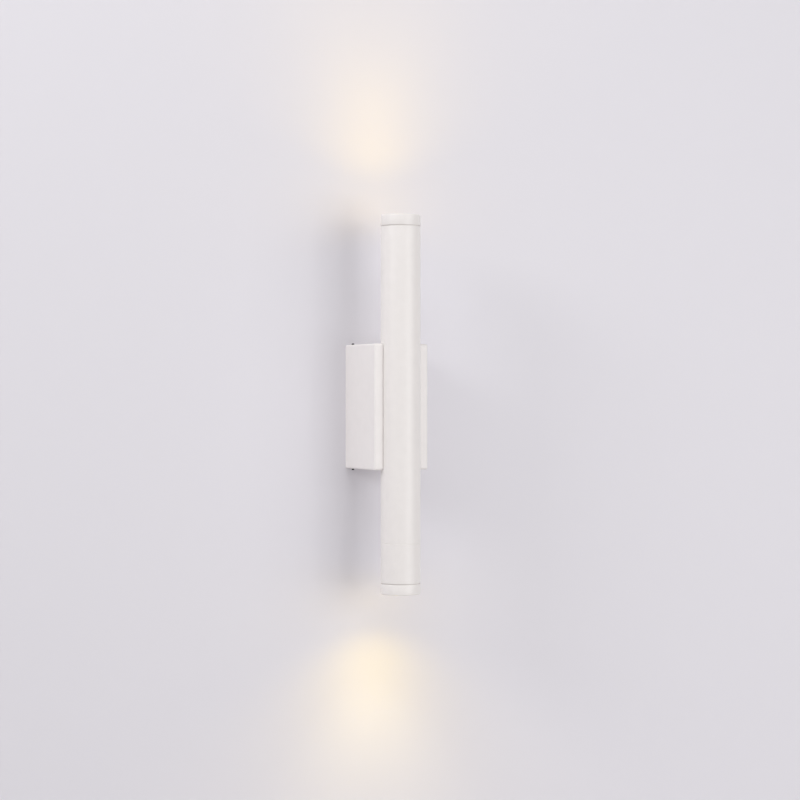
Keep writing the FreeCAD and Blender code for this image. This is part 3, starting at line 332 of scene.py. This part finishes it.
def turned(form, outline_mm, steps, closed=True):
    """Spins an outline of (radius, height) points in mm about the Z axis."""
    verts = [form.verts.new((r * MM, 0, z * MM)) for r, z in outline_mm]
    ends = verts[1:] + verts[:1] if closed else verts[1:]
    edges = [form.edges.new(pair) for pair in zip(verts, ends)]
    bmesh.ops.spin(form, geom=verts + edges, cent=(0, 0, 0), axis=(0, 0, 1), dvec=(0, 0, 0),
                   angle=2 * math.pi, steps=steps, use_merge=True, use_duplicate=False)
    bmesh.ops.remove_doubles(form, verts=form.verts, dist=MERGED)


def circle_at(form, radius_mm, height_mm):
    """Edges of a turned piece that lie on one circle."""
    def on_it(vert):
        return (abs(math.hypot(vert.co.x, vert.co.y) - radius_mm * MM) < SAME_PLACE
                and abs(vert.co.z - height_mm * MM) < SAME_PLACE)
    return [e for e in form.edges if on_it(e.verts[0]) and on_it(e.verts[1])]


def rounded(form, corners_mm, width_mm, segments):
    """Bevels the circles of a turned piece at the given (radius, height) corners."""
    edges = [e for r, z in corners_mm for e in circle_at(form, r, z)]
    bmesh.ops.bevel(form, geom=edges, offset=width_mm * MM, segments=segments, profile=0.5,
                    affect="EDGES", material=-1)


def joined(form, other):
    """Moves everything of another form into this one."""
    mesh = bpy.data.meshes.new("joined")
    other.to_mesh(mesh)
    other.free()
    form.from_mesh(mesh)
    bpy.data.meshes.remove(mesh)


# A thread's ridge: how deep its foot is sunk in the core in mm, then the ends of its rise, its crest and its
# fall in shares of the pitch
RIDGE_SUNK = 0.1
RIDGE_RISE = 0.4
RIDGE_CREST = 0.5
RIDGE_FALL = 0.9


def threaded(form, core_mm, crest_mm, low_mm, high_mm, pitch_mm, steps):
    """Winds a right-hand thread round a core: one turn is spun, and the others are stacked on it."""
    foot = core_mm - RIDGE_SUNK
    ridge = [(foot, 0), (core_mm, 0), (crest_mm, RIDGE_RISE * pitch_mm), (crest_mm, RIDGE_CREST * pitch_mm),
             (core_mm, RIDGE_FALL * pitch_mm), (foot, RIDGE_FALL * pitch_mm)]
    wound = bmesh.new()
    verts = [wound.verts.new((r * MM, 0, (low_mm + z) * MM)) for r, z in ridge]
    edges = [wound.edges.new(pair) for pair in zip(verts, verts[1:] + verts[:1])]
    bmesh.ops.spin(wound, geom=verts + edges, cent=(0, 0, 0), axis=(0, 0, 1),
                   dvec=(0, 0, pitch_mm * MM / steps), angle=2 * math.pi, steps=steps,
                   use_merge=False, use_duplicate=False)
    turn = wound.verts[:] + wound.edges[:] + wound.faces[:]
    for i in range(1, int((high_mm - low_mm) / pitch_mm) - 1):
        copied = bmesh.ops.duplicate(wound, geom=turn)["geom"]
        bmesh.ops.translate(wound, verts=[v for v in copied if isinstance(v, bmesh.types.BMVert)],
                            vec=(0, 0, i * pitch_mm * MM))
    bmesh.ops.remove_doubles(wound, verts=wound.verts, dist=MERGED)
    bmesh.ops.holes_fill(wound, edges=[e for e in wound.edges if e.is_boundary], sides=len(ridge))
    joined(form, wound)


def recess(form, rim, corners, inset, radius_mm, depth_mm, floor_share):
    """Sinks a key's recess in an open round top: the rim's edges are bridged to the recess's mouth."""
    top = rim[0].verts[0].co.z
    made = bmesh.ops.create_circle(form, segments=corners, radius=radius_mm * MM)["verts"]
    bmesh.ops.rotate(form, verts=made, cent=(0, 0, 0), matrix=Matrix.Rotation(math.pi / corners, 3, "Z"))
    bmesh.ops.scale(form, verts=made[1::3] if inset < 1 else [], vec=(inset, inset, 1))
    bmesh.ops.translate(form, verts=made, vec=(0, 0, top))
    mouth = list({e for v in made for e in v.link_edges})
    sunk = bmesh.ops.extrude_edge_only(form, edges=mouth)["geom"]
    low = [v for v in sunk if isinstance(v, bmesh.types.BMVert)]
    bmesh.ops.scale(form, verts=low, vec=(floor_share, floor_share, 1))
    bmesh.ops.translate(form, verts=low, vec=(0, 0, -depth_mm * MM))
    bmesh.ops.holes_fill(form, edges=[e for e in sunk if isinstance(e, bmesh.types.BMEdge)], sides=0)
    bmesh.ops.bridge_loops(form, edges=rim + mouth)


def finished(name, form, slots, stands_for, crease=30):
    """Makes an object of a shaped piece, with its finishes, in place of the node it stands for."""
    bmesh.ops.remove_doubles(form, verts=form.verts, dist=MERGED_AT_END)
    bmesh.ops.recalc_face_normals(form, faces=form.faces)
    mesh = bpy.data.meshes.new(name)
    form.to_mesh(mesh)
    form.free()
    for slot in slots:
        mesh.materials.append(FINISHES[slot])
    mesh.shade_smooth()
    mesh.set_sharp_from_angle(angle=math.radians(crease))
    obj = bpy.data.objects.new(name, mesh)
    bpy.context.scene.collection.objects.link(obj)
    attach(obj, nodes[stands_for]["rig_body"])
    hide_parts(stands_for)


def solids_of(node):
    """Lowest and highest corner of each separate solid of a node."""
    form = bmesh.new()
    form.from_mesh(nodes[node].data)
    bmesh.ops.remove_doubles(form, verts=form.verts, dist=MERGED)
    left = set(form.verts)
    boxes = []
    while left:
        reached = [left.pop()]
        for vert in reached:
            linked = {e.other_vert(vert) for e in vert.link_edges} & left
            left -= linked
            reached.extend(linked)
        spans = [(min(v.co[i] for v in reached), max(v.co[i] for v in reached)) for i in range(3)]
        boxes.append((Vector([a for a, b in spans]), Vector([b for a, b in spans])))
    form.free()
    return boxes


# ---- End rings, glasses, reflectors and chips ----

RIM_R = 20.0
RIM_EDGE = 0.8
GROOVE = 1.0
GROOVE_EDGE = 0.2
NECK_R = 18.8
SPIGOT_R = 17.95
SPIGOT = 7.0
SPIGOT_CHAMFER = 0.3
THREAD_DEPTH = 0.45
THREAD_PITCH = 1.0
THREAD_FROM_END = 0.4
THREAD_STEPS = 96
BORE_R = 15.5
APERTURE_R = 13.5
APERTURE_CHAMFER = 1.2
APERTURE_EDGE = 0.25
SNAP_R = 16.4
GLASS_GAP = 0.3
GLASS_EDGE = 0.25
RING_STEPS = 128


def level(node, side):
    """Height in mm of a piece's lower (0) or upper (1) side above the tube's upper end face."""
    return (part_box(node)[side].z - tube_high.z) / MM


RIM_HEIGHT = level("top_ring", 1)
LIP_S = level("top_gasket", 1)
GLASS_TOP_S = level("top_glass", 1)
GLASS_S = level("top_glass", 0)
SNAP_S = level("top_snap_ring", 0)
REFLECTOR_TOP_S = level("top_reflector", 1)
CHIP_S = level("top_led_chip", 0)


def end_ring(end):
    """Turned end ring: rounded rim, dark groove under it, threaded spigot, bevelled opening."""
    form = bmesh.new()
    root = SPIGOT_R - THREAD_DEPTH
    turned(form, [(root, -SPIGOT), (root, 0), (NECK_R, 0), (NECK_R, GROOVE), (RIM_R, GROOVE),
                  (RIM_R, RIM_HEIGHT), (APERTURE_R + APERTURE_CHAMFER, RIM_HEIGHT),
                  (APERTURE_R, RIM_HEIGHT - APERTURE_CHAMFER), (APERTURE_R, LIP_S), (BORE_R, LIP_S),
                  (BORE_R, GLASS_S), (SNAP_R, GLASS_S), (SNAP_R, SNAP_S), (BORE_R, SNAP_S),
                  (BORE_R, -SPIGOT)], RING_STEPS)
    rounded(form, [(RIM_R, RIM_HEIGHT)], RIM_EDGE, 6)
    rounded(form, [(RIM_R, GROOVE)], GROOVE_EDGE, 2)
    rounded(form, [(APERTURE_R + APERTURE_CHAMFER, RIM_HEIGHT)], APERTURE_EDGE, 2)
    rounded(form, [(root, -SPIGOT), (BORE_R, -SPIGOT)], SPIGOT_CHAMFER, 1)
    threaded(form, root, SPIGOT_R, THREAD_FROM_END - SPIGOT, -THREAD_FROM_END, THREAD_PITCH, THREAD_STEPS)
    form.transform(ENDS[end])
    finished(end + "_turned_ring", form, ["ring_paint"], end + "_ring")


def end_glass(end):
    """Round glass pane with its edges ground off."""
    form = bmesh.new()
    radius = BORE_R - GLASS_GAP
    turned(form, [(0, GLASS_S), (radius, GLASS_S), (radius, GLASS_TOP_S), (0, GLASS_TOP_S)],
           RING_STEPS, False)
    rounded(form, [(radius, GLASS_S), (radius, GLASS_TOP_S)], GLASS_EDGE, 2)
    form.transform(ENDS[end])
    finished(end + "_ground_glass_pane", form, ["clear_glass"], end + "_glass")


CHIP_R = 5.5
CHIP_DAM = 0.9
CHIP_HEIGHT = 1.0
PHOSPHOR_HEIGHT = 0.75
CHIP_EDGE = 0.3
CHIP_STEPS = 64
REFLECTOR_HOLE_R = CHIP_R + 0.5
REFLECTOR_MOUTH_R = 14.2
REFLECTOR_WALL = 0.8
REFLECTOR_FOOT_R = 8.4
REFLECTOR_FACETS = 36
REFLECTOR_ROWS = 6
REFLECTOR_CREASE = 4


def end_reflector(end):
    """Pressed reflector: a cone of small flat facets, with a flat rim at its mouth and a flat foot."""
    form = bmesh.new()
    rows = [(REFLECTOR_HOLE_R + (REFLECTOR_MOUTH_R - REFLECTOR_HOLE_R) * i / REFLECTOR_ROWS,
             CHIP_S + (REFLECTOR_TOP_S - CHIP_S) * i / REFLECTOR_ROWS) for i in range(REFLECTOR_ROWS + 1)]
    back = [(REFLECTOR_MOUTH_R + REFLECTOR_WALL, REFLECTOR_TOP_S),
            (REFLECTOR_HOLE_R + 2 * REFLECTOR_WALL, CHIP_S + REFLECTOR_WALL),
            (REFLECTOR_FOOT_R, CHIP_S + REFLECTOR_WALL), (REFLECTOR_FOOT_R, CHIP_S)]
    turned(form, rows + back, REFLECTOR_FACETS)
    for row, (_, height) in enumerate(rows):
        ring = [v for v in form.verts if abs(v.co.z - height * MM) < SAME_PLACE]
        half_facet = math.pi / REFLECTOR_FACETS * (row % 2)
        bmesh.ops.rotate(form, verts=ring, cent=(0, 0, 0), matrix=Matrix.Rotation(half_facet, 3, "Z"))
    form.transform(ENDS[end])
    finished(end + "_faceted_reflector", form, ["reflector_metal"], end + "_reflector", REFLECTOR_CREASE)


def end_chip(end):
    """Light-emitting chip: phosphor in a raised white dam."""
    form = bmesh.new()
    dam_in_r = CHIP_R - CHIP_DAM
    top = CHIP_S + CHIP_HEIGHT
    glow_top = CHIP_S + PHOSPHOR_HEIGHT
    turned(form, [(0, CHIP_S), (CHIP_R, CHIP_S), (CHIP_R, top), (dam_in_r, top), (dam_in_r, glow_top),
                  (0, glow_top)], CHIP_STEPS, False)
    rounded(form, [(CHIP_R, top), (dam_in_r, top)], CHIP_EDGE, 4)
    lit_r = dam_in_r * MM + SAME_PLACE
    lit_above = (CHIP_S + CHIP_HEIGHT / 2) * MM
    for face in form.faces:
        inside = all(math.hypot(v.co.x, v.co.y) < lit_r for v in face.verts)
        face.material_index = 0 if inside and face.calc_center_median().z > lit_above else 1
    form.transform(ENDS[end])
    finished(end + "_phosphor_chip", form, ["led_phosphor", "board_white"], end + "_led_chip")


for end_name in ENDS:
    end_ring(end_name)
    end_glass(end_name)
    end_reflector(end_name)
    end_chip(end_name)


# ---- Threaded collar of the lower head ----

COLLAR_WALL = 2.95


def threaded_collar():
    """Collar in the long tube's lower end, with the thread that the lower head screws up on."""
    low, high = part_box("joint_collar")
    seam = tube_low.z
    outer = (high.x - low.x) / 2 / MM
    inner = outer - COLLAR_WALL
    root = outer - THREAD_DEPTH
    below = (low.z - seam) / MM
    above = (high.z - seam) / MM
    form = bmesh.new()
    turned(form, [(inner, below), (root, below), (root, 0), (outer, 0), (outer, above), (inner, above)],
           RING_STEPS)
    rounded(form, [(root, below)], SPIGOT_CHAMFER, 1)
    threaded(form, root, outer, below + THREAD_FROM_END, -THREAD_FROM_END, THREAD_PITCH, THREAD_STEPS)
    form.transform(Matrix.Translation((AXIS.x, AXIS.y, seam)))
    finished("threaded_collar", form, ["aluminium"], "joint_collar")


threaded_collar()


# ---- Screws ----

# The pitch in shares of the radius; the depth of thread and the tip in shares of the pitch
PITCH_OF_RADIUS = 0.35
DEPTH_OF_PITCH = 0.55
TIP_OF_PITCH = 0.6
UNDER_HEAD = 0.1
SCREW_SIDES = 32
SCREW_THREAD_STEPS = 24


def screw_form(length, top_r, radius, head_height, corners, inset, key_r, key_depth, floor_share):
    """A screw in mm with its top at z = 0: threaded shank, head if it has one, and the key's recess."""
    pitch = PITCH_OF_RADIUS * radius
    root = radius - DEPTH_OF_PITCH * pitch
    tip = TIP_OF_PITCH * pitch
    rim = (top_r - head_height / 3 if head_height else root, 0)
    head = [(root, -head_height), (top_r, -head_height), (top_r, -head_height / 3)] if head_height else []
    form = bmesh.new()
    turned(form, [(0, -length), (root - tip, -length), (root, tip - length)] + head + [rim],
           SCREW_SIDES, False)
    recess(form, circle_at(form, *rim), corners, inset, key_r, key_depth, floor_share)
    threaded(form, root, radius, tip - length, -head_height - UNDER_HEAD, pitch, SCREW_THREAD_STEPS)
    return form


def placed_screws(name, node, slot, sizes, way_out):
    """Puts a screw on each solid of a node; way_out is the way that a screw's top looks."""
    whole = bmesh.new()
    for low, high in solids_of(node):
        way = way_out(low, high)
        half = (high - low) / 2
        top = (low + high) / 2 + Vector([w * h for w, h in zip(way, half)])
        along = max(range(3), key=lambda i: abs(way[i]))
        across = (along + 1) % 3
        one = screw_form(2 * half[along] / MM, half[across] / MM, *sizes)
        one.transform(Matrix.Translation(top) @ way.to_track_quat("Z", "Y").to_matrix().to_4x4())
        joined(whole, one)
    finished(name, whole, [slot], node)


def away_from_middle(low, high):
    """Up for a screw in the upper half, down for one in the lower half."""
    return Vector((0, 0, math.copysign(1, low.z + high.z)))


def to_wall(low, high):
    """Screws that were driven from the wall side."""
    return Vector((0, 1, 0))


def to_front(low, high):
    """Screws that were driven from the front."""
    return Vector((0, -1, 0))


# Thread radius and head height in mm, the corners of the key's recess, the inset of every third one, the
# recess's radius and depth in mm, and its floor's share of its mouth
HEADLESS_M3 = (1.5, 0, 6, 1, 0.87, 1.5, 1)
PAN_M3 = (1.5, 1.6, 12, 0.35, 1.3, 1.0, 0.4)
PAN_M4 = (2.0, 2.6, 12, 0.35, 2.1, 1.6, 0.4)
placed_screws("hex_socket_set_screws", "housing_set_screws", "black_steel", HEADLESS_M3, away_from_middle)
placed_screws("cross_head_tube_screws", "tube_screws", "zinc_steel", PAN_M4, to_wall)
placed_screws("cross_head_terminal_screws", "terminal_fixing_screws", "zinc_steel", PAN_M3, to_front)
placed_screws("cross_head_earth_screw", "earth_screw", "zinc_steel", PAN_M4, to_front)
placed_screws("cross_head_top_board_screws", "top_board_screws", "zinc_steel", PAN_M3, away_from_middle)
placed_screws("cross_head_bottom_board_screws", "bottom_board_screws", "zinc_steel", PAN_M3, away_from_middle)


# ---- Wall, floor, lamps and camera ----

ROOM_HALF = 3.0
FLOOR_BELOW = 1.0


def room_material(name, colour, one_sided):
    """Plain matt paint; a one-sided wall doesn't hide the light from behind."""
    material, tree, shader = finish_of(name, colour, {"Roughness": 0.9})
    if one_sided:
        clear = add(tree, "BsdfTransparent").outputs["BSDF"]
        back = add(tree, "NewGeometry").outputs["Backfacing"]
        mixed = add(tree, "MixShader", {}, {0: back, 1: shader.outputs["BSDF"], 2: clear})
        output = next(n for n in tree.nodes if n.type == "OUTPUT_MATERIAL")
        tree.links.new(mixed.outputs["Shader"], output.inputs["Surface"])
    return material


def sheet_of_room(name, corners, material, opening=()):
    """A flat four-sided surface of the room, with an opening in it where its four corners are given."""
    mesh = bpy.data.meshes.new(name)
    form = bmesh.new()
    loops = []
    for loop in (corners, opening):
        verts = [form.verts.new(c) for c in loop]
        loops.append([form.edges.new(pair) for pair in zip(verts, verts[1:] + verts[:1])])
    if opening:
        bmesh.ops.bridge_loops(form, edges=loops[0] + loops[1])
    else:
        bmesh.ops.contextual_create(form, geom=loops[0])
    form.to_mesh(mesh)
    form.free()
    mesh.materials.append(material)
    obj = bpy.data.objects.new(name, mesh)
    bpy.context.scene.collection.objects.link(obj)


# The wall is open behind the box, up to 1 mm inside the box's outline
wall_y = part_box("wall_plate")[1].y
box_low, box_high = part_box("housing")
box_low += Vector((MM, 0, MM))
box_high -= Vector((MM, 0, MM))
floor_z = LIGHT_LOW - FLOOR_BELOW
sheet_of_room("wall", [(-ROOM_HALF, wall_y, floor_z), (ROOM_HALF, wall_y, floor_z),
                       (ROOM_HALF, wall_y, ROOM_HALF), (-ROOM_HALF, wall_y, ROOM_HALF)],
              room_material("plain_wall_paint", "#E2E0E5", True),
              [(box_low.x, wall_y, box_low.z), (box_high.x, wall_y, box_low.z),
               (box_high.x, wall_y, box_high.z), (box_low.x, wall_y, box_high.z)])
sheet_of_room("floor", [(-ROOM_HALF, -2 * ROOM_HALF, floor_z), (ROOM_HALF, -2 * ROOM_HALF, floor_z),
                        (ROOM_HALF, ROOM_HALF, floor_z), (-ROOM_HALF, ROOM_HALF, floor_z)],
              room_material("plain_floor", "#E4E2E2", False))


def aimed(obj, place, target):
    """Puts a lamp or camera at a place, looking at a target."""
    obj.location = place
    obj.rotation_euler = (Vector(target) - Vector(place)).to_track_quat("-Z", "Y").to_euler()
    bpy.context.scene.collection.objects.link(obj)
    return obj


def around(azimuth, elevation, distance):
    """A place at an angle from straight in front of the light, in degrees."""
    a = math.radians(azimuth)
    e = math.radians(elevation)
    return AXIS + distance * Vector((math.sin(a) * math.cos(e), -math.cos(a) * math.cos(e), math.sin(e)))


SOFTBOX_DISTANCE = 2.2


def softbox(name, azimuth, elevation, width, height, watts):
    """A rectangular soft white lamp that looks at the light."""
    lamp = bpy.data.lights.new(name, "AREA")
    lamp.shape = "RECTANGLE"
    lamp.size = width
    lamp.size_y = height
    lamp.energy = watts
    aimed(bpy.data.objects.new(name, lamp), around(azimuth, elevation, SOFTBOX_DISTANCE), AXIS)


softbox("right_softbox", 20, 0, 1.0, 1.2, 11.6)
softbox("far_right_softbox", 42, 3, 1.2, 1.6, 7.8)
softbox("left_softbox", -72, 25, 0.5, 0.6, 11.0)
softbox("side_softbox", -85, 25, 0.8, 1.0, 6.2)
softbox("upper_softbox", -30, 60, 1.5, 1.0, 15.0)


BEAM_SOURCE_R = 12 * MM
GLOW_SOURCE_R = 8 * MM


def beam(name, way, z, degrees, watts, colour):
    """A cone of light out of one end, strongest along the tube and fading to its edge."""
    lamp = bpy.data.lights.new(name, "SPOT")
    lamp.spot_size = math.radians(degrees)
    lamp.spot_blend = 1.0
    lamp.energy = watts
    lamp.color = linear(colour)[:3]
    lamp.shadow_soft_size = BEAM_SOURCE_R
    aimed(bpy.data.objects.new(name, lamp), AXIS + Vector((0, 0, z)), AXIS + Vector((0, 0, z + way)))


def glow(name, z, watts, colour):
    """The faint light that spills sideways from an end's glass."""
    lamp = bpy.data.lights.new(name, "POINT")
    lamp.energy = watts
    lamp.color = linear(colour)[:3]
    lamp.shadow_soft_size = GLOW_SOURCE_R
    aimed(bpy.data.objects.new(name, lamp), AXIS + Vector((0, 0, z)), AXIS)


# The pools of light on the wall: warm at both ends, and whiter in the middle of the lower one
beam("upper_wide_beam", 1, LIGHT_TOP + MM, 130, 0.32, "#FFD640")
beam("upper_core_beam", 1, LIGHT_TOP + MM, 80, 0.26, "#FFD640")
glow("upper_glow", LIGHT_TOP + 4 * MM, 0.03, "#FFD640")
beam("lower_wide_beam", -1, LIGHT_LOW - MM, 130, 0.52, "#FFDC50")
beam("lower_core_beam", -1, LIGHT_LOW - MM, 80, 0.55, "#FFEDB3")
glow("lower_glow", LIGHT_LOW - 4 * MM, 0.025, "#FFDC50")

world = bpy.data.worlds.new("soft_room")
world.use_nodes = True
background = world.node_tree.nodes["Background"]
background.inputs["Color"].default_value = linear("#FAF8FA")
background.inputs["Strength"].default_value = 0.4
bpy.context.scene.world = world

CAMERA_AZIMUTH = -25.6
CAMERA_DISTANCE = 2.033
CAMERA_HEIGHT = 0.0069
AIM_ASIDE = -0.00075
LENS_MM = 90.88
SENSOR_MM = 36.0
camera_data = bpy.data.cameras.new("camera")
camera_data.lens = LENS_MM
camera_data.sensor_width = SENSOR_MM
camera_place = around(CAMERA_AZIMUTH, 0, CAMERA_DISTANCE)
camera_place.z = CAMERA_HEIGHT
camera_aim = AXIS + Vector((AIM_ASIDE, 0, CAMERA_HEIGHT))
camera = aimed(bpy.data.objects.new("camera", camera_data), camera_place, camera_aim)
bpy.context.scene.camera = camera
bpy.context.scene.view_settings.view_transform = "Standard"
